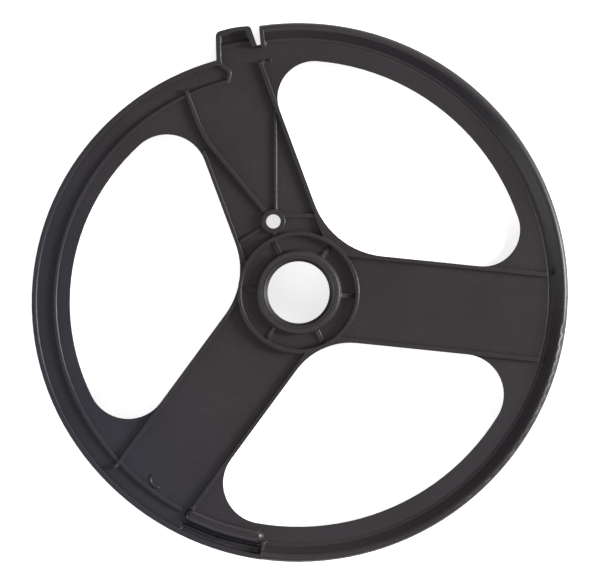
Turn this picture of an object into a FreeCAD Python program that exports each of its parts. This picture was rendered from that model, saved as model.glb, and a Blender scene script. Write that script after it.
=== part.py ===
import FreeCAD, Part
import math
import os

import Sketcher
from FreeCAD import Placement, Rotation, Vector

# Film developing reel: two three-spoke flanges on a film core, lying flat.
# Millimetres, +Z up, origin in the middle of the spindle bore on the resting face.
# Angles are measured counter-clockwise from +X, seen from +Z.

SIZES = [
    # rim outline
    ("rim_radius", 110.2),
    ("lead_shift", 7.7),
    ("lead_angle", 212.0),
    ("lead_start", 105.3),
    ("section_half_angle", 98.4),
    # flange thicknesses, measured from the inner face outwards
    ("web_thickness", 2.0),
    ("flange_height", 5.5),
    ("wall_height", 4.2),
    ("rib_height", 3.4),
    ("ridge_height", 3.6),
    ("boss_height", 4.8),
    ("mound_height", 4.5),
    ("mark_height", 2.5),
    ("pip_height", 2.9),
    ("post_height", 4.7),
    ("sleeve_height", 4.0),
    ("hub_rib_height", 3.9),
    # rim section
    ("lip_width", 1.9),
    ("round_lip_crown", 2.0),
    ("round_lip_width", 7.2),
    ("ridge_inset", 8.7),
    ("ridge_width", 1.3),
    ("channel_inner", 102.2),
    ("channel_depth", 0.3),
    ("mound_inner", 98.2),
    ("mound_outer", 104.4),
    ("mound_round", 2.2),
    ("pocket_inner", 104.8),
    ("pocket_outer", 108.1),
    ("pocket_depth", 1.3),
    ("pocket_round", 1.1),
    ("tab_round", 2.2),
    ("notch_round", 1.5),
    ("tab_rise", 1.2),
    ("tab_pocket_depth", 1.4),
    # windows and spokes
    ("window_radius", 94.8),
    ("low_window_radius", 95.8),
    ("window_inset", 15.6),
    ("spoke_half_width", 18.2),
    ("wide_half_width", 18.8),
    ("narrow_half_width", 17.2),
    ("spoke_wall", 1.5),
    ("rim_corner", 15.0),
    ("wide_rim_corner", 16.5),
    ("rear_clearance", 0.9),
    # hub
    ("ring_radius", 24.8),
    ("ring_wall", 1.4),
    ("sleeve_radius", 17.4),
    ("bearing_radius", 14.95),
    ("hub_rib_width", 1.8),
    # boss
    ("boss_distance", 30.85),
    ("boss_angle", 109.5),
    ("boss_radius", 4.8),
    ("boss_hole_radius", 2.95),
    ("rib_width", 1.1),
    # spiral tracks on the inner faces
    ("track_first", 29.0),
    ("track_pitch", 4.0),
    ("track_height", 1.0),
    ("track_width", 0.9),
    ("track_half_angle", 9.0),
    # core
    ("film_gap", 16.4),
    ("bore_radius", 12.7),
    ("journal_radius", 14.9),
    ("journal_end_radius", 14.6),
    ("drum_radius", 24.0),
    ("drum_clearance", 0.15),
    ("hollow_inner", 16.8),
    ("hollow_outer", 22.2),
    ("bore_chamfer", 1.3),
    ("screw_circle", 20.35),
    ("screw_hole_radius", 1.5),
    ("lug_angle", 80.0),
    ("lug_half_angle", 5.0),
    ("lug_height", 1.0),
    ("twist_angle", 18.0),
    # retaining collar
    ("collar_radius", 17.2),
    ("collar_height", 1.4),
    ("collar_chamfer", 0.6),
    # grip balls
    ("ball_radius", 2.0),
    ("ball_angle", 252.4),
    ("ball_level", 1.4),
    ("ball_travel", 7.0),
    ("race_half_width", 2.1),
    ("race_depth", 3.5),
    ("retainer_thickness", 0.8),
    ("retainer_half_width", 3.0),
    ("retainer_slot", 1.95),
    # film clip
    ("clip_angle", 326.0),
    ("clip_pin_circle", 21.6),
    ("clip_pin_radius", 0.8),
    ("clip_eye_radius", 1.9),
    ("clip_inner", 20.9),
    ("clip_low", 7.5),
    ("clip_tall", 12.4),
    ("clip_pocket_floor", 18.6),
    ("spring_wire", 0.25),
]

TRACK_COUNT = 17
HUB_RIB_COUNT = 6
HUB_RIB_ANGLE = -4.0
SPOKE_ANGLES = {"upper": 110.4, "lower": 233.7, "right": 354.15}
SCREW_ANGLES = (26.0, 146.0, 266.0)
HOLLOWS = ((38.0, 134.0), (158.0, 254.0))

os.makedirs("parts", exist_ok=True)
doc = FreeCAD.newDocument("film_reel")
sheet = doc.addObject("Spreadsheet::Sheet", "Sizes")


def fill_sheet():
    for row, (name, value) in enumerate(SIZES, start=1):
        sheet.set("A%d" % row, name)
        sheet.set("B%d" % row, str(value))
        sheet.setAlias("B%d" % row, name)
    doc.recompute()


def size(name):
    return float(sheet.get(name))


# ---- points, curves and outlines -------------------------------------------

def polar(radius, degrees, centre=Vector(0, 0, 0)):
    turn = math.radians(degrees)
    return centre + Vector(radius * math.cos(turn), radius * math.sin(turn), 0)


def line(start, end):
    return Part.LineSegment(start, end)


def arc(centre, radius, first, last):
    """Counter-clockwise arc between two angles in degrees."""
    circle = Part.Circle(centre, Vector(0, 0, 1), radius)
    return Part.ArcOfCircle(circle, math.radians(first), math.radians(last))


def loop(points):
    return [line(a, b) for a, b in zip(points, points[1:] + points[:1])]


def bar(start, end, width):
    """Rectangle of the given width along the line from start to end."""
    along = (end - start).normalize()
    across = Vector(-along.y, along.x, 0) * (width / 2)
    return loop([start + across, end + across, end - across, start - across])


def bent_bar(start, corner, end, bend_radius, width):
    """Bar from start to end that turns at the corner with a smooth bend."""
    u = (corner - start).normalize()
    v = (end - corner).normalize()
    run = bend_radius * math.tan(u.getAngle(v) / 2)
    side = math.copysign(1.0, u.cross(v).z)
    to_centre_u = Vector(-u.y, u.x, 0) * side
    to_centre_v = Vector(-v.y, v.x, 0) * side
    first = corner - u * run
    second = corner + v * run
    centre = first + to_centre_u * bend_radius
    outward = (corner - centre).normalize()
    sides = []
    for offset in (-width / 2, width / 2):
        sides.append([start + to_centre_u * offset, first + to_centre_u * offset,
                      centre + outward * (bend_radius - offset),
                      second + to_centre_v * offset, end + to_centre_v * offset])
    curves = []
    for a, b, c, d, e in sides:
        curves += [line(a, b), Part.Arc(b, c, d), line(d, e)]
    return curves + [line(sides[0][0], sides[1][0]), line(sides[0][4], sides[1][4])]


def sector(inner, outer, first, last, centre=Vector(0, 0, 0)):
    """Part of a ring between two radii and two angles."""
    return [
        arc(centre, outer, first, last),
        line(polar(outer, last, centre), polar(inner, last, centre)),
        arc(centre, inner, first, last),
        line(polar(inner, first, centre), polar(outer, first, centre)),
    ]


def curved_slot(radius, half_width, first, last):
    """Ring sector with round ends whose centres lie at the two angles."""
    start = polar(radius, first)
    end = polar(radius, last)
    return [
        arc(Vector(0, 0, 0), radius + half_width, first, last),
        arc(end, half_width, last, last + 180),
        arc(Vector(0, 0, 0), radius - half_width, first, last),
        arc(start, half_width, first + 180, first + 360),
    ]


def lead_centre():
    return polar(size("lead_shift"), size("lead_angle"))


def lead_radius():
    return size("rim_radius") - size("lead_shift")


def lead_strip(inset, width, first, last):
    """Strip that follows the stepped left rim at an inset from the outline."""
    centre = lead_centre()
    join = size("lead_angle")
    outer = lead_radius() - inset
    inner = outer - width
    round_outer = size("rim_radius") - inset
    round_inner = round_outer - width
    return [
        arc(centre, outer, first, join),
        arc(Vector(0, 0, 0), round_outer, join, last),
        line(polar(round_outer, last), polar(round_inner, last)),
        arc(Vector(0, 0, 0), round_inner, join, last),
        arc(centre, inner, first, join),
        line(polar(inner, first, centre), polar(outer, first, centre)),
    ]


def on_circle(start, direction, radius, centre=Vector(0, 0, 0)):
    """Point where a ray leaves a circle that surrounds its start."""
    offset = start - centre
    half = offset.dot(direction)
    root = math.sqrt(half * half - offset.dot(offset) + radius * radius)
    return start + direction * (root - half)


def edge_ray(spoke, half_width, side):
    """Start point and direction of a spoke edge; side +1 is counter-clockwise."""
    angle = SPOKE_ANGLES[spoke]
    return polar(half_width, angle + 90 * side), polar(1.0, angle)


def crossing(first, second):
    """Meeting point of two rays given as (point, direction)."""
    (p, u), (q, v) = first, second
    cross = u.x * v.y - u.y * v.x
    gap = q - p
    return p + u * ((gap.x * v.y - gap.y * v.x) / cross)


# ---- PartDesign helpers ----------------------------------------------------

def origin_feature(body, role):
    return [item for item in body.Origin.OriginFeatures if item.Role == role][0]


def new_body(name):
    body = doc.addObject("PartDesign::Body", name)
    body.Label = name
    return body


def sketch_on(body, name, curves, level="0", role="XY_Plane"):
    """Sketch of ready curves on an origin plane, lifted by an expression."""
    sketch = body.newObject("Sketcher::SketchObject", body.Name + "_" + name)
    sketch.AttachmentSupport = (origin_feature(body, role), [""])
    sketch.MapMode = "FlatFace"
    sketch.addGeometry(curves, False)
    if level != "0":
        sketch.setExpression("AttachmentOffset.Base.z", level)
    return sketch


def circle_sketch(body, name, radius_name, centre=Vector(0, 0, 0), level="0"):
    """Sketch of one circle whose radius is driven by the sheet."""
    circle = Part.Circle(centre, Vector(0, 0, 1), size(radius_name))
    sketch = sketch_on(body, name, [circle], level)
    index = sketch.addConstraint(Sketcher.Constraint("Radius", 0, size(radius_name)))
    sketch.renameConstraint(index, "drive")
    sketch.setExpression("Constraints.drive", "Sizes." + radius_name)
    return sketch


def add(body, sketch, length, downward=False):
    pad = body.newObject("PartDesign::Pad", sketch.Name + "_pad")
    pad.Profile = sketch
    pad.Reversed = downward
    pad.setExpression("Length", length)
    doc.recompute()
    return pad


def cut(body, sketch, length, upward=False):
    before = body.Shape.Volume
    pocket = body.newObject("PartDesign::Pocket", sketch.Name + "_cut")
    pocket.Profile = sketch
    pocket.Reversed = upward
    pocket.setExpression("Length", length)
    doc.recompute()
    if body.Shape.Volume > before - 0.01:
        raise RuntimeError(pocket.Name + " cuts nothing")
    return pocket


def upright_edges(shape, places):
    """Names of straight edges along Z that stand at the given places."""
    names = []
    for number, edge in enumerate(shape.Edges, start=1):
        a, b = edge.Vertexes[0].Point, edge.Vertexes[-1].Point
        if abs(a.x - b.x) > 1e-6 or abs(a.y - b.y) > 1e-6:
            continue
        if any(math.hypot(a.x - p.x, a.y - p.y) < 0.01 for p in places):
            names.append("Edge%d" % number)
    return names


def round_edges(body, names, radius, tag):
    feature = body.Tip
    fillet = body.newObject("PartDesign::Fillet", body.Name + "_" + tag)
    fillet.Base = (feature, names)
    if isinstance(radius, str):
        fillet.setExpression("Radius", radius)
    else:
        fillet.Radius = radius
    doc.recompute()
    return fillet


def chamfer_edges(body, names, expression, tag):
    feature = body.Tip
    chamfer = body.newObject("PartDesign::Chamfer", body.Name + "_" + tag)
    chamfer.Base = (feature, names)
    chamfer.setExpression("Size", expression)
    doc.recompute()
    return chamfer


def circular_edges(shape, radius, level):
    """Names of full circles of one radius at one level about the Z axis."""
    names = []
    for number, edge in enumerate(shape.Edges, start=1):
        curve = edge.Curve
        if not isinstance(curve, Part.Circle):
            continue
        centre = curve.Center
        near = math.hypot(centre.x, centre.y) < 0.01 and abs(centre.z - level) < 0.01
        if near and abs(curve.Radius - radius) < 0.01:
            names.append("Edge%d" % number)
    return names


# ---- flange ----------------------------------------------------------------

def tab_corners(spare):
    """Corners of the entry notch and of the tab beside it, right to left."""
    rim = size("rim_radius")
    right_angle = size("section_half_angle") - math.degrees(spare / rim)
    return {
        "notch_right": polar(rim, right_angle),
        "notch_low_right": Vector(-15.5 + spare, 101.3, 0),
        "notch_low_left": Vector(-17.0 - spare, 101.0, 0),
        "notch_left": polar(rim + 0.4, 100.3),
        "tab_top": polar(rim + size("tab_rise"), 104.0),
        "tab_left": polar(rim + size("tab_rise"), 107.7),
        "tab_foot": polar(lead_radius(), size("lead_start"), lead_centre()),
    }


def outline(spare):
    rim = size("rim_radius")
    join = size("lead_angle")
    corner = tab_corners(spare)
    start = math.degrees(math.atan2(corner["notch_right"].y, corner["notch_right"].x))
    return [
        arc(Vector(0, 0, 0), rim, join - 360, start),
        line(corner["notch_right"], corner["notch_low_right"]),
        line(corner["notch_low_right"], corner["notch_low_left"]),
        line(corner["notch_low_left"], corner["notch_left"]),
        Part.Arc(corner["notch_left"], corner["tab_top"], corner["tab_left"]),
        line(corner["tab_left"], corner["tab_foot"]),
        arc(lead_centre(), lead_radius(), size("lead_start"), join),
    ]


# each window lies between two spokes, counter-clockwise from low to high
WINDOWS = {
    "upper_right": {
        "low": ("right", "spoke_half_width"), "high": ("upper", "wide_half_width"),
        "rim": "window_radius", "hub_corner": 33.0, "rim_corner": "rim_corner"},
    "left": {
        "low": ("upper", "narrow_half_width"), "high": ("lower", "wide_half_width"),
        "rim": None, "hub_corner": 31.0, "rim_corner": "wide_rim_corner"},
    "lower_right": {
        "low": ("lower", "spoke_half_width"), "high": ("right", "spoke_half_width"),
        "rim": "low_window_radius", "hub_corner": 27.0, "rim_corner": "wide_rim_corner"},
}


def window_rays(name, spare):
    low_spoke, low_width = WINDOWS[name]["low"]
    high_spoke, high_width = WINDOWS[name]["high"]
    first = edge_ray(low_spoke, size(low_width) - spare, 1)
    second = edge_ray(high_spoke, size(high_width) - spare, -1)
    return first, second


def window_edge(name, spare):
    """Centre and radius of the window's rim-side arc; the left one follows the lead-in."""
    rim = WINDOWS[name]["rim"]
    if rim is None:
        return lead_centre(), lead_radius() - size("window_inset") + spare
    return Vector(0, 0, 0), size(rim) + spare


def cut_window(body, name, spare):
    first, second = window_rays(name, spare)
    centre, radius = window_edge(name, spare)
    hub_point = crossing(first, second)
    low = on_circle(first[0], first[1], radius, centre)
    high = on_circle(second[0], second[1], radius, centre)
    start = math.degrees(math.atan2(low.y - centre.y, low.x - centre.x))
    end = math.degrees(math.atan2(high.y - centre.y, high.x - centre.x))
    if end < start:
        end += 360
    curves = [line(hub_point, low), arc(centre, radius, start, end), line(high, hub_point)]
    sketch = sketch_on(body, "window_" + name, curves, "-10")
    cut(body, sketch, "20", upward=True)
    hub_edges = upright_edges(body.Shape, [hub_point])
    round_edges(body, hub_edges, WINDOWS[name]["hub_corner"], "hub_corner_" + name)
    rim_edges = upright_edges(body.Shape, [low, high])
    round_edges(body, rim_edges, "Sizes." + WINDOWS[name]["rim_corner"], "rim_corners_" + name)


def spoke_walls(name, spare, reach):
    """Outline of the wall round a window's hub corner and along both spokes."""
    first, second = window_rays(name, spare)
    wall = size("spoke_wall")
    outer_first, outer_second = window_rays(name, spare + wall)
    corner = WINDOWS[name]["hub_corner"]
    tip = crossing(first, second)
    u, v = first[1], second[1]
    half = u.getAngle(v) / 2
    run = corner / math.tan(half)
    middle = tip + (u + v).normalize() * (corner / math.sin(half))
    touch_first = tip + u * run
    touch_second = tip + v * run
    nearest = middle - (u + v).normalize() * corner
    far_first = on_circle(first[0], u, reach[0])
    far_second = on_circle(second[0], v, reach[1])
    back_first = on_circle(outer_first[0], u, reach[0])
    back_second = on_circle(outer_second[0], v, reach[1])
    return [
        line(far_first, touch_first),
        Part.Arc(touch_first, nearest, touch_second),
        line(touch_second, far_second),
        line(far_second, back_second),
        line(back_second, crossing(outer_first, outer_second)),
        line(crossing(outer_first, outer_second), back_first),
        line(back_first, far_first),
    ]


WALL_REACH = {"upper_right": (102.2, 95.5), "left": (69.8, 102.6), "lower_right": (98.2, 102.2)}


def boss_ribs():
    """Outlines of the thin ribs that brace the boss."""
    boss = polar(size("boss_distance"), size("boss_angle"))
    width = size("rib_width")
    return [
        bar(boss + Vector(0.9, 0, 0), Vector(-9.5, 75.0, 0), width),
        bar(boss, Vector(-24.0, 20.9, 0), width),
        bar(boss, polar(size("ring_radius") - 0.5, size("boss_angle") + 4.0), width),
        bar(boss + Vector(0, 2.4, 0), Vector(8.0, 31.4, 0), 1.5 * width),
    ]


def curved_wall():
    """Wall that comes down the upper spoke and bends across it to the boss."""
    boss = polar(size("boss_distance"), size("boss_angle"))
    return bent_bar(Vector(-46.0, 82.6, 0), Vector(-38.9, 63.5, 0), boss, 50.0, 1.3)


def make_flange(name, outward, spare, sleeve_expression):
    """One flange with its inner face on z = 0; outward is +1 or -1 along Z."""
    body = new_body(name)
    down = outward < 0
    web = "Sizes.web_thickness"
    on_web = "%d * Sizes.web_thickness" % outward

    def raised(tag, curves, top):
        sketch = sketch_on(body, tag, curves, on_web)
        add(body, sketch, "Sizes.%s - %s" % (top, web), downward=down)

    add(body, sketch_on(body, "outline", outline(spare)), web, downward=down)
    for window in WINDOWS:
        cut_window(body, window, spare)

    grip_mound(body, raised, outward)
    for window, reach in WALL_REACH.items():
        raised("walls_" + window, spoke_walls(window, spare, reach), "wall_height")

    ring = sketch_on(body, "ring", [
        Part.Circle(Vector(0, 0, 0), Vector(0, 0, 1), size("ring_radius")),
        Part.Circle(Vector(0, 0, 0), Vector(0, 0, 1), size("sleeve_radius") - 1.0),
    ], on_web)
    add(body, ring, "Sizes.flange_height - " + web, downward=down)
    trough = sketch_on(body, "trough", [
        Part.Circle(Vector(0, 0, 0), Vector(0, 0, 1), size("ring_radius") - size("ring_wall")),
        Part.Circle(Vector(0, 0, 0), Vector(0, 0, 1), size("sleeve_radius") - 1.5),
    ], on_web)
    cut(body, trough, "Sizes.flange_height", upward=not down)
    hub_gussets(body, outward)
    sleeve = circle_sketch(body, "sleeve", "sleeve_radius", level=on_web)
    add(body, sleeve, "%s - %s" % (sleeve_expression, web), downward=down)

    raised("curved_wall", curved_wall(), "wall_height")
    for number, rib in enumerate(boss_ribs()):
        raised("boss_rib_%d" % number, rib, "rib_height")
    boss_place = polar(size("boss_distance"), size("boss_angle"))
    boss = circle_sketch(body, "boss", "boss_radius", boss_place, on_web)
    add(body, boss, "Sizes.boss_height - " + web, downward=down)
    hole = circle_sketch(body, "boss_hole", "boss_hole_radius", boss_place, "-10")
    cut(body, hole, "20", upward=True)

    rim_left(body, raised, outward)
    rim_right(body, outward, spare)
    entry_tab(body, raised, outward, spare)
    ball_race(body, outward)
    spiral_tracks(body, outward)

    bore = circle_sketch(body, "bearing", "bearing_radius", level="-10")
    cut(body, bore, "20", upward=True)
    return body


def hub_gussets(body, outward):
    """Ribs in the hub trough that slope from the sleeve down to the ring's foot."""
    inner = size("sleeve_radius") - 0.6
    outer = size("ring_radius") - 0.7
    low = outward * (size("web_thickness") - 0.3)
    foot = outward * (size("web_thickness") + 0.1)
    high = outward * size("hub_rib_height")
    profile = [Vector(inner, low, 0), Vector(inner, high, 0),
               Vector(outer, foot, 0), Vector(outer, low, 0)]
    for number in range(HUB_RIB_COUNT):
        angle = HUB_RIB_ANGLE + 360.0 / HUB_RIB_COUNT * number
        sketch = sketch_on(body, "gusset_%d" % number, loop(profile), role="XZ_Plane")
        sketch.AttachmentOffset = Placement(Vector(0, 0, 0), Rotation(Vector(0, 1, 0), angle))
        gusset = add(body, sketch, "Sizes.hub_rib_width")
        gusset.Midplane = True
        doc.recompute()


def level_edges(shape, level):
    """Names of the edges that lie wholly at one level."""
    names = []
    for number, edge in enumerate(shape.Edges, start=1):
        box = edge.BoundBox
        if abs(box.ZMin - level) < 0.001 and abs(box.ZMax - level) < 0.001:
            names.append("Edge%d" % number)
    return names


def mound_middle():
    return (size("mound_inner") + size("mound_outer")) / 2


def grip_mound(body, raised, outward):
    """Rounded housing over the ball race, where the stepped rim ends."""
    half = (size("mound_outer") - size("mound_inner")) / 2
    first = size("ball_angle") - size("ball_travel") - 0.9
    last = size("ball_angle") + size("ball_travel") + 0.6
    raised("mound", curved_slot(mound_middle(), half, first, last), "mound_height")
    top = level_edges(body.Shape, outward * size("mound_height"))
    round_edges(body, top, "Sizes.mound_round", "mound_round")


def rim_left(body, raised, outward):
    """Lip, ridge and pocket of the stepped part of the rim."""
    end = 360 - size("section_half_angle")
    lip = lead_strip(0, size("lip_width"), size("lead_start") - 1.0, end + 0.5)
    raised("lip", lip, "flange_height")
    ridge = lead_strip(size("ridge_inset"), size("ridge_width"), size("lead_start") - 1.5, 241.8)
    raised("ridge", ridge, "ridge_height")
    wall = sector(size("mound_outer") - 1.5, size("rim_radius") - 0.8, end, end + 0.7)
    raised("mound_end", wall, "wall_height")
    pocket = sector(size("pocket_inner"), size("pocket_outer"), 243.4, end - 0.1)
    floor = "%d * (Sizes.web_thickness - Sizes.pocket_depth)" % outward
    cut(body, sketch_on(body, "grip_pocket", pocket, floor), "6", upward=outward > 0)
    level = outward * (size("web_thickness") - size("pocket_depth"))
    round_edges(body, level_edges(body.Shape, level), "Sizes.pocket_round", "pocket_round")
    mark = sector(2.8, 3.4, 130, 275, Vector(-57.4, -76.6, 0))
    raised("mark", mark, "mark_height")
    for number, spot in enumerate((Vector(-11.5, 94.9, 0), Vector(-14.7, 94.2, 0))):
        pip = Part.Circle(spot, Vector(0, 0, 1), 0.65)
        raised("pip_%d" % number, [pip], "pip_height")
    for number, spot in enumerate((Vector(-74.9, -71.1, 0), Vector(-43.1, -88.1, 0))):
        post = Part.Circle(spot, Vector(0, 0, 1), 0.9)
        raised("post_%d" % number, [post], "post_height")


def rim_right(body, outward, spare):
    """Rounded lip and shallow channel, revolved about the reel axis."""
    rim = size("rim_radius")
    foot = rim - size("round_lip_width")
    top = size("flange_height")
    web = size("web_thickness")
    floor = web - size("channel_depth")
    crown = size("round_lip_crown")
    angle = 2 * (size("section_half_angle") - math.degrees(spare / rim))

    def at(radius, height):
        return Vector(radius, outward * height, 0)

    profile = [
        line(at(rim, 0.4), at(rim, top - crown)),
        Part.Arc(at(rim, top - crown), at(rim - 0.3 * crown, top - 0.3 * crown),
                 at(rim - crown, top)),
        line(at(rim - crown, top), at(rim - 1.5 * crown, top - 0.2 * crown)),
        line(at(rim - 1.5 * crown, top - 0.2 * crown), at(foot + 0.9, web + 0.1)),
        line(at(foot + 0.9, web + 0.1), at(foot, floor)),
        line(at(foot, floor), at(foot, 0.4)),
        line(at(foot, 0.4), at(rim, 0.4)),
    ]
    sketch = sketch_on(body, "round_lip", profile, role="XZ_Plane")
    turn = body.newObject("PartDesign::Revolution", body.Name + "_round_lip_turn")
    turn.Profile = sketch
    turn.ReferenceAxis = (origin_feature(body, "Z_Axis"), [""])
    turn.Midplane = True
    turn.Angle = angle
    doc.recompute()

    inner = size("channel_inner")
    trench = loop([at(inner, web + 2), at(inner, floor), at(foot, floor), at(foot, web + 2)])
    sketch = sketch_on(body, "channel", trench, role="XZ_Plane")
    groove = body.newObject("PartDesign::Groove", body.Name + "_channel_turn")
    groove.Profile = sketch
    groove.ReferenceAxis = (origin_feature(body, "Z_Axis"), [""])
    groove.Midplane = True
    groove.Angle = angle - 2.2
    doc.recompute()


def entry_tab(body, raised, outward, spare):
    """Walls round the tab and beside the notch, and the closed end of the channel."""
    corner = tab_corners(spare)
    wall = size("lip_width")
    foot = corner["tab_foot"]
    left = corner["tab_left"]
    inner_left = left + Vector(wall, -wall * 0.8, 0)
    inner_top = corner["tab_top"] + Vector(0.3, -wall * 0.85, 0)
    inner_right = corner["notch_left"] + Vector(-wall, -wall * 0.9, 0)
    low_left = corner["notch_low_left"]
    raised("tab_walls", [
        line(foot, left),
        Part.Arc(left, corner["tab_top"], corner["notch_left"]),
        line(corner["notch_left"], low_left),
        line(low_left, low_left + Vector(-wall, -0.9, 0)),
        line(low_left + Vector(-wall, -0.9, 0), inner_right),
        Part.Arc(inner_right, inner_top, inner_left),
        line(inner_left, foot + Vector(wall, -1.4, 0)),
        line(foot + Vector(wall, -1.4, 0), foot),
    ], "flange_height")
    round_edges(body, upright_edges(body.Shape, [left]), "Sizes.tab_round", "tab_corner")
    round_edges(body, upright_edges(body.Shape, [corner["notch_left"]]),
                "Sizes.notch_round", "notch_corner")
    right = corner["notch_right"]
    low_right = corner["notch_low_right"]
    raised("notch_wall", loop([right + Vector(0, -1.2, 0), low_right,
                               low_right + Vector(0.4, -1.4, 0), low_right + Vector(2.0, -0.6, 0),
                               right + Vector(1.6, -1.2, 0)]), "flange_height")
    channel_end = bent_bar(foot + Vector(0.6, -1.2, 0), Vector(-27.9, 90.4, 0),
                           Vector(-28.9, 86.3, 0), 1.8, 1.4)
    raised("channel_end", channel_end, "ridge_height")
    pocket = loop([Vector(-31.7, 104.3, 0), Vector(-31.7, 101.4, 0), Vector(-20.7, 103.4, 0),
                   Vector(-22.0, 106.7, 0), Vector(-26.7, 106.1, 0)])
    floor = "%d * (Sizes.web_thickness - Sizes.tab_pocket_depth)" % outward
    cut(body, sketch_on(body, "tab_pocket", pocket, floor), "1.5", upward=outward > 0)
    step = bar(Vector(-32.2, 100.3, 0), Vector(-19.6, 102.5, 0), 1.0)
    raised("tab_step", step, "pip_height")


def ball_race(body, outward):
    """Race for the grip ball under the mound and the recess for its retainer."""
    angle = size("ball_angle")
    travel = size("ball_travel")
    recess = retainer_outline(0.05)
    cut(body, sketch_on(body, "retainer_recess", recess), "Sizes.retainer_thickness",
        upward=outward > 0)
    slot = curved_slot(mound_middle(), size("race_half_width"),
                       angle - travel - 0.1, angle + travel + 0.1)
    cut(body, sketch_on(body, "race", slot), "Sizes.race_depth", upward=outward > 0)


def retainer_outline(spare):
    half = size("retainer_half_width") + spare
    circle = mound_middle()
    angle = size("ball_angle")
    reach = size("ball_travel") + math.degrees((half + 0.2) / circle)
    return sector(circle - half, circle + half, angle - reach, angle + reach)


def spiral_tracks(body, outward):
    """Stepped spiral: arcs on each spoke, a third of a pitch further out per spoke."""
    for step, spoke in enumerate(("right", "upper", "lower")):
        first = size("track_first") + size("track_pitch") * step / 3
        curves = []
        for number in range(TRACK_COUNT):
            radius = first + size("track_pitch") * number
            outer = radius + size("track_width")
            if abs(radius - size("boss_distance")) < 6 and spoke == "upper":
                continue
            angle = SPOKE_ANGLES[spoke]
            half = size("track_half_angle")
            curves += sector(radius, outer, angle - half, angle + half)
        sketch = sketch_on(body, "tracks_" + spoke, curves)
        add(body, sketch, "Sizes.track_height", downward=outward > 0)


def front_flange():
    body = make_flange("front_flange", 1, 0.0, "Sizes.sleeve_height")
    swing = size("twist_angle") + size("lug_half_angle") + 1.2
    slot = sector(17.8, 21.2, size("lug_angle") - swing, size("lug_angle") + swing)
    cut(body, sketch_on(body, "stop_slot", slot), "1.25", upward=True)
    return body


def rear_flange():
    body = make_flange("rear_flange", -1, size("rear_clearance"), "Sizes.flange_height")
    for number, angle in enumerate(SCREW_ANGLES):
        place = polar(size("screw_circle"), angle)
        hole = Part.Circle(place, Vector(0, 0, 1), 1.65)
        sketch = sketch_on(body, "screw_hole_%d" % number, [hole], "-10")
        cut(body, sketch, "20", upward=True)
    return body


# ---- core ------------------------------------------------------------------

def core():
    body = new_body("film_core")
    total = "2 * Sizes.flange_height + Sizes.film_gap"
    add(body, circle_sketch(body, "journal_end", "journal_end_radius"), total)
    journal = circle_sketch(body, "journal", "journal_radius")
    add(body, journal, "Sizes.flange_height + Sizes.film_gap + Sizes.sleeve_height")
    drum = circle_sketch(body, "drum", "drum_radius", level="Sizes.flange_height")
    add(body, drum, "Sizes.film_gap - Sizes.drum_clearance")
    for number, (first, last) in enumerate(HOLLOWS):
        curves = sector(size("hollow_inner"), size("hollow_outer"), first, last)
        sketch = sketch_on(body, "hollow_%d" % number, curves, "Sizes.flange_height")
        cut(body, sketch, "Sizes.film_gap - 2", upward=True)
    for number, angle in enumerate(SCREW_ANGLES):
        place = polar(size("screw_circle"), angle)
        sketch = circle_sketch(body, "screw_%d" % number, "screw_hole_radius", place,
                               "Sizes.flange_height")
        cut(body, sketch, "9", upward=True)
    lug = sector(18.0, 21.0, size("lug_angle") - size("lug_half_angle"),
                 size("lug_angle") + size("lug_half_angle"))
    sketch = sketch_on(body, "stop_lug", lug,
                       "Sizes.flange_height + Sizes.film_gap - Sizes.drum_clearance - 0.5")
    add(body, sketch, "Sizes.lug_height + Sizes.drum_clearance + 0.5")
    clip_pocket(body)
    bore = circle_sketch(body, "bore", "bore_radius", level="-1")
    cut(body, bore, "40", upward=True)
    height = 2 * size("flange_height") + size("film_gap")
    front_end = circular_edges(body.Shape, size("bore_radius"), height)
    chamfer_edges(body, front_end, "Sizes.bore_chamfer", "bore_mouth")
    return body


def clip_pocket(body):
    """Pocket for the film clip in the drum, with the hole for its pin."""
    angle = size("clip_angle")
    pocket = sector(size("clip_pocket_floor"), size("drum_radius") + 1, angle - 22, angle + 22)
    sketch = sketch_on(body, "clip_pocket", pocket, "Sizes.clip_low - 0.3")
    cut(body, sketch, "Sizes.clip_tall + 0.6", upward=True)
    sketch = circle_sketch(body, "pin_hole", "clip_pin_radius", clip_pin_place(),
                           "Sizes.clip_low - 1.4")
    cut(body, sketch, "Sizes.clip_tall + 2.8", upward=True)


def clip_pin_place():
    return polar(size("clip_pin_circle"), size("clip_angle") + 16)


def retaining_collar():
    body = new_body("retaining_collar")
    ring = circle_sketch(body, "ring", "collar_radius")
    add(body, ring, "Sizes.collar_height")
    hole = circle_sketch(body, "hole", "journal_end_radius", level="-1")
    cut(body, hole, "4", upward=True)
    edges = circular_edges(body.Shape, size("collar_radius"), size("collar_height"))
    chamfer_edges(body, edges, "Sizes.collar_chamfer", "front_edge")
    return body


def core_screws():
    """Three pan-head screws, one node."""
    screws = []
    for angle in SCREW_ANGLES:
        head = Part.makeCylinder(2.7, 1.8, Vector(0, 0, 1.7))
        head = head.makeFillet(0.7, [edge for edge in head.Edges if edge.BoundBox.ZMax < 1.71])
        shank = Part.makeCylinder(size("screw_hole_radius") - 0.02, 10.0, Vector(0, 0, 3.4))
        screw = head.fuse(shank)
        for turn in (0, 90):
            slot = Part.makeBox(2.8, 0.6, 1.1, Vector(-1.4, -0.3, 1.4))
            slot.rotate(Vector(0, 0, 0), Vector(0, 0, 1), turn + 45)
            screw = screw.cut(slot)
        screw.translate(polar(size("screw_circle"), angle))
        screws.append(screw.removeSplitter())
    part = doc.addObject("Part::Feature", "core_screws")
    part.Shape = Part.makeCompound(screws)
    return part


# ---- grip balls ------------------------------------------------------------

def grip_ball(name):
    ball = doc.addObject("Part::Sphere", name)
    ball.setExpression("Radius", "Sizes.ball_radius")
    return ball


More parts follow.
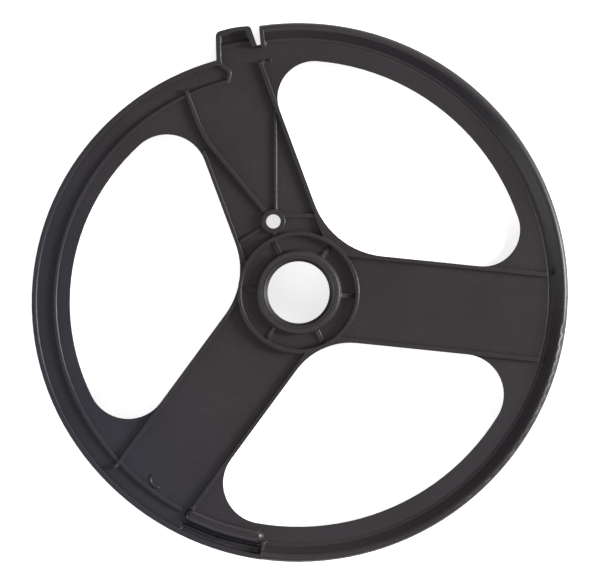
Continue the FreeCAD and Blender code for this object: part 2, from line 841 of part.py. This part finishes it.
def ball_retainer(name, outward):
    """Slotted plate, flush with the inner face, that keeps the ball in its race."""
    body = new_body(name)
    plate = sketch_on(body, "plate", retainer_outline(0))
    add(body, plate, "Sizes.retainer_thickness", downward=outward < 0)
    angle = size("ball_angle")
    travel = size("ball_travel")
    slot = curved_slot(mound_middle(), size("retainer_slot"), angle - travel, angle + travel)
    cut(body, sketch_on(body, "slot", slot), "Sizes.retainer_thickness", upward=outward > 0)
    return body


# ---- film clip -------------------------------------------------------------

def film_clip():
    """Curved lever flush with the drum, hinged at its counter-clockwise end."""
    body = new_body("film_clip")
    angle = size("clip_angle")
    outer = size("drum_radius")
    lever = sector(size("clip_inner"), outer, angle - 19, angle + 15)
    add(body, sketch_on(body, "lever", lever, "Sizes.clip_low"), "Sizes.clip_tall")
    eye = circle_sketch(body, "eye", "clip_eye_radius", clip_pin_place(), "Sizes.clip_low")
    add(body, eye, "Sizes.clip_tall")
    hole = Part.Circle(clip_pin_place(), Vector(0, 0, 1), size("clip_pin_radius") + 0.05)
    sketch = sketch_on(body, "hole", [hole])
    cut(body, sketch, "30", upward=True)
    gap = sector(size("clip_inner") - 2.5, 23.2, angle + 9, angle + 22)
    sketch = sketch_on(body, "spring_gap", gap, "Sizes.clip_low + Sizes.clip_tall / 2 - 2")
    cut(body, sketch, "4", upward=True)
    for number in range(3):
        tooth = angle - 17.5 + 2.2 * number
        notch = sector(outer - 0.5, outer + 1, tooth, tooth + 1.0)
        sketch = sketch_on(body, "grip_%d" % number, notch)
        cut(body, sketch, "30", upward=True)
    return body


def clip_pin():
    pin = doc.addObject("Part::Cylinder", "clip_pin")
    pin.setExpression("Radius", "Sizes.clip_pin_radius")
    pin.setExpression("Height", "Sizes.clip_tall + 2.8")
    return pin


def clip_spring():
    """Torsion spring round the pin, with one leg under the clip and one on the drum."""
    turns, steps, radius = 4, 14, 1.25
    wire = size("spring_wire")
    path = [Vector(2.9, 0.1, -1.2)]
    for number in range(turns * steps + 1):
        point = polar(radius, 360.0 / steps * number)
        point.z = 2.4 * number / (turns * steps) - 1.2
        path.append(point)
    path.append(Vector(radius, 3.4, 1.2))
    profile = Part.Wire(Part.makeCircle(wire, path[0], path[1] - path[0]))
    spine = Part.makePolygon(path)
    part = doc.addObject("Part::Feature", "clip_spring")
    part.Shape = spine.makePipeShell([profile], True, False, 1)
    return part


# ---- assembly --------------------------------------------------------------

def place(part, x=0.0, y=0.0, z="0", turn=0.0):
    part.Placement = Placement(Vector(x, y, 0), Rotation(Vector(0, 0, 1), turn))
    part.setExpression("Placement.Base.z", z)


fill_sheet()
front_level = "Sizes.flange_height + Sizes.film_gap"
pin_point = clip_pin_place()
ball_point = polar(mound_middle(), size("ball_angle"))

front = front_flange()
place(front, z=front_level)
rear = rear_flange()
place(rear, z="Sizes.flange_height")
middle = core()
collar = retaining_collar()
place(collar, z=front_level + " + Sizes.sleeve_height + 0.05")
screws = core_screws()
front_ball = grip_ball("front_grip_ball")
place(front_ball, ball_point.x, ball_point.y, front_level + " + Sizes.ball_level")
rear_ball = grip_ball("rear_grip_ball")
place(rear_ball, ball_point.x, ball_point.y, "Sizes.flange_height - Sizes.ball_level")
front_retainer = ball_retainer("front_ball_retainer", 1)
place(front_retainer, z=front_level)
rear_retainer = ball_retainer("rear_ball_retainer", -1)
place(rear_retainer, z="Sizes.flange_height")
clip = film_clip()
pin = clip_pin()
place(pin, pin_point.x, pin_point.y, "Sizes.clip_low - 1.4")
spring = clip_spring()
inward = size("clip_angle") + 16 - 180
place(spring, pin_point.x, pin_point.y, "Sizes.clip_low + Sizes.clip_tall / 2", inward)
doc.recompute()

parts = [front, rear, middle, collar, screws, front_ball, rear_ball,
         front_retainer, rear_retainer, clip, pin, spring]

for item in doc.Objects:
    if "Invalid" in item.State or "Error" in item.State:
        raise RuntimeError("%s does not build: %s" % (item.Name, item.State))

for part in parts:
    shape = part.Shape
    if shape.isNull() or not shape.isValid():
        raise RuntimeError(part.Label + " has no valid shape")
    shape.exportStep("parts/%s.step" % part.Label)
    box = shape.BoundBox
    print("%-20s solids %d volume %10.2f z %6.2f..%6.2f" % (
        part.Label, len(shape.Solids), shape.Volume, box.ZMin, box.ZMax))
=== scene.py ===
import math

import bpy
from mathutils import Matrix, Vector


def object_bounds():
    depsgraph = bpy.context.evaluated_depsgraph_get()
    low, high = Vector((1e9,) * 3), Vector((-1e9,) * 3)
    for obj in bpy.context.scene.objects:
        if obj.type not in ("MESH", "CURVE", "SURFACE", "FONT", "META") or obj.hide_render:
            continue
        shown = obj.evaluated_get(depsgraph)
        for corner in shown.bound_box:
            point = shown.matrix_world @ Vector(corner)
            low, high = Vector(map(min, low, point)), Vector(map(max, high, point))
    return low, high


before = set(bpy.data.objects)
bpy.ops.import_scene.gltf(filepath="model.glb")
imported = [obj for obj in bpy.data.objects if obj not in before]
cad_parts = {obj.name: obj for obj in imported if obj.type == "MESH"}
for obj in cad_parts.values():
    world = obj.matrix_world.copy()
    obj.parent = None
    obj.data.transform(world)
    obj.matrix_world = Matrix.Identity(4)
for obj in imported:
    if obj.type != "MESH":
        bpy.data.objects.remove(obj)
cad_low, cad_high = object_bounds()

MM = 0.001  # one millimetre in the scene's metres

# Colours are linear RGB.
WHITE = (1.0, 1.0, 1.0)
BLUISH = (0.87, 0.91, 1.0)
COOLISH = (0.97, 0.94, 1.0)
# Cool tint of the random flow marks, also used as painted bluish light on each piece's left
# side
COOL_FLOW_AND_PAINTED_LIGHT = (0.0155, 0.0160, 0.0235)
FLANGE_WARM = (0.0205, 0.0157, 0.0166)
CORE_WARM = (0.0215, 0.0172, 0.0180)
WORN_PLASTIC = (0.062, 0.058, 0.060)

# Noise scales, in cycles per metre.
FLOOR_SCALE = 3.0
FLOW_SCALE = 9.0
SMUDGE_SCALE = 35.0
WAVE_SCALE = 60.0
PATCH_SCALE = 120.0
STAIN_SCALE = 300.0
SPECK_SCALE = 900.0
GRAIN_SCALE = 2600.0

# Noise detail, in octaves.
PLAIN = 2.0
MEDIUM = 3.0
RICH = 4.0

PLASTIC_SPECULAR = 0.38
FLOW_SHARE = 0.25         # how much of the cool tint the flow marks bring in
PAINTED_LIGHT_WARMTH = 0.2    # share of the warm tint in the painted bluish light on a piece's left side
# Painted light: the plastic is tinted cool towards its left, a painted bluish light from
# the left that fades out along this axis
PAINTED_LIGHT_AXIS = (1.0, 0.4, 0.0)
PAINTED_LIGHT_FULL_UP_TO = -0.095  # metres along the painted light's axis; the painted bluish light is full up to here
# metres along the same axis where the painted bluish light has faded out
PAINTED_LIGHT_GONE_FROM = -0.05
SPECK_SHARE = 0.1
RUB_SHARE = 0.5
RUB_WIDTH = 0.7           # reach of the rubbed band, as a part of the edge's roll
EDGE_FLAT = 0.995         # cosine of the lean where an edge starts
EDGE_FULL = 0.8
EDGE_SAMPLES = 6

WELD_DISTANCE = 0.02 * MM
BEVEL_SEGMENTS = 2
BEVEL_ANGLE = math.radians(35)


# ---- node helpers ----------------------------------------------------------

class Graph:
    """Short names for building one material's node tree."""

    def __init__(self, name):
        self.material = bpy.data.materials.new(name)
        self.material.use_nodes = True
        self.tree = self.material.node_tree
        self.shader = self.tree.nodes["Principled BSDF"]
        self.place = self.node("ShaderNodeTexCoord").outputs["Object"]

    def node(self, kind, **settings):
        made = self.tree.nodes.new(kind)
        for key, value in settings.items():
            setattr(made, key, value)
        return made

    def link(self, source, target):
        self.tree.links.new(source, target)

    def noise(self, scale, detail):
        made = self.node("ShaderNodeTexNoise")
        self.link(self.place, made.inputs["Vector"])
        made.inputs["Scale"].default_value = scale
        made.inputs["Detail"].default_value = detail
        return made.outputs["Fac"]

    def spread(self, value, low, high, out_low=0.0, out_high=1.0):
        """low to high becomes out_low to out_high, held at both ends."""
        made = self.node("ShaderNodeMapRange")
        self.link(value, made.inputs["Value"])
        made.inputs["From Min"].default_value = low
        made.inputs["From Max"].default_value = high
        made.inputs["To Min"].default_value = out_low
        made.inputs["To Max"].default_value = out_high
        return made.outputs["Result"]

    def clouds(self, scale, detail, low=0.3, high=0.7, out_low=0.0, out_high=1.0):
        """Noise with its middle range, low to high, spread out."""
        return self.spread(self.noise(scale, detail), low, high, out_low, out_high)

    def times(self, first, second):
        made = self.node("ShaderNodeMath", operation="MULTIPLY")
        self.link(first, made.inputs[0])
        if isinstance(second, float):
            made.inputs[1].default_value = second
        else:
            self.link(second, made.inputs[1])
        return made.outputs["Value"]

    def mix(self, amount, first, second):
        made = self.node("ShaderNodeMix", data_type="RGBA")
        self.link(amount, made.inputs[0])
        for slot, value in ((6, first), (7, second)):  # the node's two colour sockets
            if isinstance(value, tuple):
                made.inputs[slot].default_value = (*value, 1.0)
            else:
                self.link(value, made.inputs[slot])
        return made.outputs[2]

    def softened(self, radius):
        """Normal of the surface with its edges rolled over a radius in millimetres."""
        made = self.node("ShaderNodeBevel")
        made.samples = EDGE_SAMPLES
        made.inputs["Radius"].default_value = radius * MM
        return made.outputs["Normal"]

    def edge_mask(self, radius):
        """1 near an edge, 0 on flat ground: how far the rolled normal leans over."""
        true_normal = self.node("ShaderNodeNewGeometry").outputs["Normal"]
        lean = self.node("ShaderNodeVectorMath", operation="DOT_PRODUCT")
        self.link(self.softened(radius), lean.inputs[0])
        self.link(true_normal, lean.inputs[1])
        return self.spread(lean.outputs["Value"], EDGE_FLAT, EDGE_FULL)

    def along(self, direction, low, high):
        """0 to 1 along a direction of the piece, between two distances in metres."""
        made = self.node("ShaderNodeVectorMath", operation="DOT_PRODUCT")
        self.link(self.place, made.inputs[0])
        made.inputs[1].default_value = direction
        return self.spread(made.outputs["Value"], low, high)

    def bump(self, height, strength, depth, below=None):
        """Bump of a depth in millimetres, on top of the normal given as below."""
        made = self.node("ShaderNodeBump")
        made.inputs["Strength"].default_value = strength
        made.inputs["Distance"].default_value = depth * MM
        self.link(height, made.inputs["Height"])
        if below is not None:
            self.link(below, made.inputs["Normal"])
        return made.outputs["Normal"]


def moulded_plastic(name, warm, roughness, roll):
    """Matte moulded plastic: flow tint, specks, rubbed edges, smudges, grain, and painted
    bluish light on its left side.

    roll is the radius in millimetres over which its edges look rounded.
    """
    graph = Graph(name)
    graph.shader.inputs["Specular IOR Level"].default_value = PLASTIC_SPECULAR

    flow = graph.clouds(FLOW_SCALE, PLAIN, 0.35, 0.65)
    warm_side = graph.mix(graph.times(flow, FLOW_SHARE), warm, COOL_FLOW_AND_PAINTED_LIGHT)
    # Painted light: the left side of the piece gets a cool tint that stands in for bluish
    # light falling from the left
    painted_left_light = tuple(a + (b - a) * PAINTED_LIGHT_WARMTH for a, b in zip(COOL_FLOW_AND_PAINTED_LIGHT, warm))
    away_from_painted_light = graph.along(PAINTED_LIGHT_AXIS, PAINTED_LIGHT_FULL_UP_TO, PAINTED_LIGHT_GONE_FROM)
    tint = graph.mix(away_from_painted_light, painted_left_light, warm_side)
    speck = graph.clouds(SPECK_SCALE, PLAIN, 0.35, 0.75)
    tint = graph.mix(graph.times(speck, SPECK_SHARE), tint, WORN_PLASTIC)
    patch = graph.clouds(PATCH_SCALE, RICH, out_low=0.25)
    rub = graph.times(graph.edge_mask(RUB_WIDTH * roll), patch)
    tint = graph.mix(graph.times(rub, RUB_SHARE), tint, WORN_PLASTIC)
    graph.link(tint, graph.shader.inputs["Base Color"])

    smudge = graph.clouds(SMUDGE_SCALE, RICH,
                          out_low=roughness - 0.05, out_high=roughness + 0.07)
    graph.link(smudge, graph.shader.inputs["Roughness"])

    grain = graph.bump(graph.noise(GRAIN_SCALE, PLAIN), strength=0.12, depth=0.1,
                       below=graph.softened(roll))
    wave = graph.bump(graph.noise(WAVE_SCALE, PLAIN), strength=0.06, depth=0.4,
                      below=grain)
    graph.link(wave, graph.shader.inputs["Normal"])
    return graph.material


def steel(name, base, dull, roughness, scale):
    """Stainless steel with fine marks and uneven polish, both sized by scale."""
    graph = Graph(name)
    graph.shader.inputs["Metallic"].default_value = 1.0
    stain = graph.clouds(STAIN_SCALE, RICH)
    graph.link(graph.mix(stain, base, dull), graph.shader.inputs["Base Color"])
    polish = graph.clouds(scale, MEDIUM, out_low=roughness, out_high=roughness + 0.12)
    graph.link(polish, graph.shader.inputs["Roughness"])
    marks = graph.bump(graph.noise(scale * 4, PLAIN), strength=0.1, depth=0.05)
    graph.link(marks, graph.shader.inputs["Normal"])
    return graph.material


def floor_material():
    """Pale matte ground that glows a little, so that it stays nearly white."""
    graph = Graph("pale_floor")
    shade = graph.clouds(FLOOR_SCALE, MEDIUM)
    graph.link(graph.mix(shade, (0.93, 0.93, 0.93), (0.95, 0.95, 0.95)),
               graph.shader.inputs["Base Color"])
    graph.shader.inputs["Roughness"].default_value = 0.8
    graph.shader.inputs["Emission Color"].default_value = (*WHITE, 1.0)
    graph.shader.inputs["Emission Strength"].default_value = 0.75
    return graph.material


# ---- finish of the CAD nodes -----------------------------------------------

def dress(node, material, bevel):
    """One material on a CAD node, and bevelled edges unless bevel, in millimetres, is 0."""
    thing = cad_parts[node]
    thing.data.materials.clear()
    thing.data.materials.append(material)
    if bevel:
        joined = thing.modifiers.new("joined_faces", "WELD")
        joined.merge_threshold = WELD_DISTANCE
        soft = thing.modifiers.new("soft_edges", "BEVEL")
        soft.width = bevel * MM
        soft.segments = BEVEL_SEGMENTS
        soft.limit_method = "ANGLE"
        soft.angle_limit = BEVEL_ANGLE


flange_plastic = moulded_plastic("flange_plastic", FLANGE_WARM, roughness=0.36, roll=0.5)
core_plastic = moulded_plastic("core_plastic", CORE_WARM, roughness=0.46, roll=0.4)
screw_steel = steel("screw_steel", base=(0.56, 0.56, 0.57), dull=(0.42, 0.42, 0.43),
                    roughness=0.3, scale=900.0)
ball_steel = steel("ball_steel", base=(0.72, 0.72, 0.74), dull=(0.6, 0.6, 0.62),
                   roughness=0.12, scale=700.0)

# The large mouldings have no bevel: their edges are rounded in the material.
FINISH = {
    "front_flange": (flange_plastic, 0.0),
    "rear_flange": (flange_plastic, 0.0),
    "film_core": (core_plastic, 0.0),
    "retaining_collar": (core_plastic, 0.3),
    "core_screws": (screw_steel, 0.0),
    "front_grip_ball": (ball_steel, 0.0),
    "rear_grip_ball": (ball_steel, 0.0),
    "front_ball_retainer": (core_plastic, 0.1),
    "rear_ball_retainer": (core_plastic, 0.1),
    "film_clip": (core_plastic, 0.0),
    "clip_pin": (screw_steel, 0.1),
    "clip_spring": (screw_steel, 0.0),
}
for node, (material, bevel) in FINISH.items():
    dress(node, material, bevel)


# ---- floor, light and camera -----------------------------------------------

FLOOR_SIZE = 14.0
FLOOR_GAP = 0.2 * MM
WORLD_STRENGTH = 0.24

# Name, place, width and height in metres, power in watts, and colour.
LIGHTS = (
    ("key_right", (1.7, 0.15, 0.9), 0.4, 0.8, 70.0, WHITE),
    ("fill_left", (-0.9, -0.35, 0.4), 0.5, 1.0, 4.0, BLUISH),
    ("top", (0.9, 1.6, 1.8), 1.4, 1.4, 13.0, WHITE),
    ("front_low", (-0.2, -1.0, 2.1), 1.2, 1.2, 9.0, COOLISH),
)

SENSOR_WIDTH = 36.0   # millimetres
VIEW_WIDTH = 0.24504  # metres across the picture, at the front face
DISTANCE = 4.0        # metres from the camera to the front face
VIEW_CENTRE = (0.6 * MM, 2.0 * MM)

bpy.ops.mesh.primitive_plane_add(size=FLOOR_SIZE, location=(0, 0, cad_low.z - FLOOR_GAP))
floor = bpy.context.object
floor.name = "floor"
floor.data.materials.append(floor_material())


def softbox(name, place, width, height, power, colour):
    """A rectangular light that faces the middle of the reel."""
    data = bpy.data.lights.new(name, "AREA")
    data.shape = "RECTANGLE"
    data.size = width
    data.size_y = height
    data.energy = power
    data.color = colour
    lamp = bpy.data.objects.new(name, data)
    bpy.context.scene.collection.objects.link(lamp)
    lamp.location = place
    lamp.rotation_euler = (-Vector(place)).to_track_quat("-Z", "Y").to_euler()


for light in LIGHTS:
    softbox(*light)

world = bpy.data.worlds.new("studio")
bpy.context.scene.world = world
world.use_nodes = True
background = world.node_tree.nodes["Background"]
background.inputs["Color"].default_value = (*WHITE, 1.0)
background.inputs["Strength"].default_value = WORLD_STRENGTH

# An unturned camera looks straight down, square to the front flange.
camera_data = bpy.data.cameras.new("camera")
camera_data.sensor_width = SENSOR_WIDTH
camera_data.lens = SENSOR_WIDTH * DISTANCE / VIEW_WIDTH
camera = bpy.data.objects.new("camera", camera_data)
camera.location = (*VIEW_CENTRE, cad_high.z + DISTANCE)
bpy.context.scene.collection.objects.link(camera)
bpy.context.scene.camera = camera

bpy.context.scene.view_settings.view_transform = "Standard"
